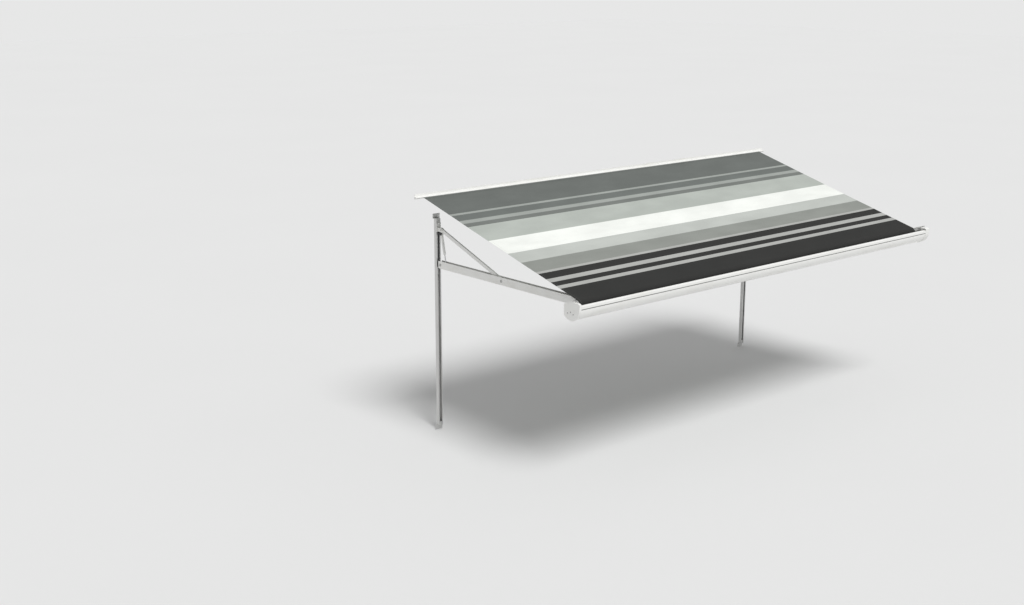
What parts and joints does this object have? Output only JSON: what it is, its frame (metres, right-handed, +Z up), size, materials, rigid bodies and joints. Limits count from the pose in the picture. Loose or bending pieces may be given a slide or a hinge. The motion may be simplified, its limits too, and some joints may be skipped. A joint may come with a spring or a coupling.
{
  "type": "roll out awning",
  "caption": "Striped roll out awning for a camper's side wall, on two arms that slide down wall channels to shut its white roller housing under the rail.",
  "frame": {"origin": "on the back face of the wall rail, halfway along it and level with the fabric's bead", "axes": "+X along the wall, +Y into the wall, +Z up"},
  "size_m": [4.4105, 1.932, 2.034],
  "materials": {
    "white_paint": "smooth white powder coat, light dust",
    "rail_metal": "satin anodised",
    "dark_plastic": "fine grain",
    "white_plastic": "fine grain, light dust",
    "steel": "zinc plated, light scratches",
    "rod_chrome": "polished",
    "seal_rubber": "matt",
    "grey_rubber": "matt, light grey",
    "striped_fabric": "woven, striped in greys, charcoal and white"
  },
  "bodies": {
    "root": {"awning_rail": "white_paint", "rail_end_cap_left": "white_plastic", "rail_end_cap_right": "white_plastic", "fabric_bead": "dark_plastic", "wall_channel_left": "rail_metal", "wall_channel_right": "rail_metal", "top_plate_left": "rail_metal", "top_plate_right": "rail_metal", "foot_plate_left": "rail_metal", "foot_plate_right": "rail_metal", "channel_bumpers": "seal_rubber", "strut_bracket_left": "white_paint", "strut_bracket_right": "white_paint", "bracket_screws": "steel", "strut_top_pins": "steel", "awning_fabric": "striped_fabric"},
    "guide": {"arm_spacer_bolts": "steel"},
    "boom": {"arm_left": "white_paint", "arm_right": "white_paint", "arm_end_bracket_left": "white_paint", "arm_end_bracket_right": "white_paint", "arm_bolts": "steel", "strut_bolt_heads": "steel", "arm_pivot_pins": "steel", "housing_shell": "white_paint", "front_lip": "white_paint", "lip_seal": "grey_rubber", "end_cap_left": "white_plastic", "end_cap_right": "white_plastic", "cap_screws": "steel", "tube_motor": "dark_plastic", "motor_bracket": "steel", "idler_stub": "steel"},
    "roller": {"roller_tube": "rail_metal", "fabric_roll": "striped_fabric", "crown_ring": "white_plastic", "drive_wheel": "white_plastic", "idler_plug": "white_plastic"},
    "carriage_left": {"carriage_left": "dark_plastic", "slide_pads_left": "white_plastic"},
    "strut_left": {"strut_left": "white_paint", "strut_lower_pin_left": "steel"},
    "gas_cylinder_left": {"gas_cylinder_left": "white_paint"},
    "gas_rod_left": {"gas_rod_left": "rod_chrome"},
    "carriage_right": {"carriage_right": "dark_plastic", "slide_pads_right": "white_plastic"},
    "strut_right": {"strut_right": "white_paint", "strut_lower_pin_right": "steel"},
    "gas_cylinder_right": {"gas_cylinder_right": "white_paint"},
    "gas_rod_right": {"gas_rod_right": "rod_chrome"}
  },
  "joints": [
    {"name": "fold", "type": "hinge", "parent": "root", "child": "guide", "pos_m": [0, -0.075, -0.568], "axis": [1, 0, 0], "range_deg": [0, 90], "deforming": ["awning_fabric"]},
    {"name": "arms", "type": "hinge", "parent": "guide", "child": "boom", "pos_m": [0, -0.7295, -0.568], "axis": [1, 0, 0], "range_deg": [-180, 0]},
    {"name": "roller_turn", "type": "hinge", "parent": "boom", "child": "roller", "pos_m": [0, -1.83, -0.55004], "axis": [1, 0, 0], "range_deg": [0, 2400]},
    {"name": "carriage_left", "type": "hinge", "parent": "boom", "child": "carriage_left", "pos_m": [-1.957, -0.075, -0.568], "axis": [1, 0, 0], "range_deg": [0, 90]},
    {"name": "strut_left", "type": "hinge", "parent": "root", "child": "strut_left", "pos_m": [-1.957, -0.075, -0.278], "axis": [1, 0, 0], "range_deg": [0, 69.44]},
    {"name": "spring_left", "type": "hinge", "parent": "carriage_left", "child": "gas_cylinder_left", "pos_m": [-1.957, -0.075, -0.313], "axis": [1, 0, 0], "range_deg": [0, 12.17]},
    {"name": "rod_left", "type": "slide", "parent": "gas_cylinder_left", "child": "gas_rod_left", "axis": [0, -0.2108, -0.9775], "range_m": [-0.06086, 0]},
    {"name": "carriage_right", "type": "hinge", "parent": "boom", "child": "carriage_right", "pos_m": [1.957, -0.075, -0.568], "axis": [1, 0, 0], "range_deg": [0, 90]},
    {"name": "strut_right", "type": "hinge", "parent": "root", "child": "strut_right", "pos_m": [1.957, -0.075, -0.278], "axis": [1, 0, 0], "range_deg": [0, 69.44]},
    {"name": "spring_right", "type": "hinge", "parent": "carriage_right", "child": "gas_cylinder_right", "pos_m": [1.957, -0.075, -0.313], "axis": [1, 0, 0], "range_deg": [0, 12.17]},
    {"name": "rod_right", "type": "slide", "parent": "gas_cylinder_right", "child": "gas_rod_right", "axis": [0, -0.2108, -0.9775], "range_m": [-0.06086, 0]}
  ],
  "couplings": [
    {"joint": "arms", "follows": "fold", "ratio": -2},
    {"joint": "roller_turn", "follows": "fold", "ratio": 26.667},
    {"joint": "carriage_left", "follows": "fold", "ratio": 1},
    {"joint": "strut_left", "follows": "fold", "ratio": 0.77156},
    {"joint": "spring_left", "follows": "fold", "ratio": 0.13524},
    {"joint": "rod_left", "follows": "fold", "m_per_rad": -0.038747},
    {"joint": "carriage_right", "follows": "fold", "ratio": 1},
    {"joint": "strut_right", "follows": "fold", "ratio": 0.77156},
    {"joint": "spring_right", "follows": "fold", "ratio": 0.13524},
    {"joint": "rod_right", "follows": "fold", "m_per_rad": -0.038747}
  ]
}
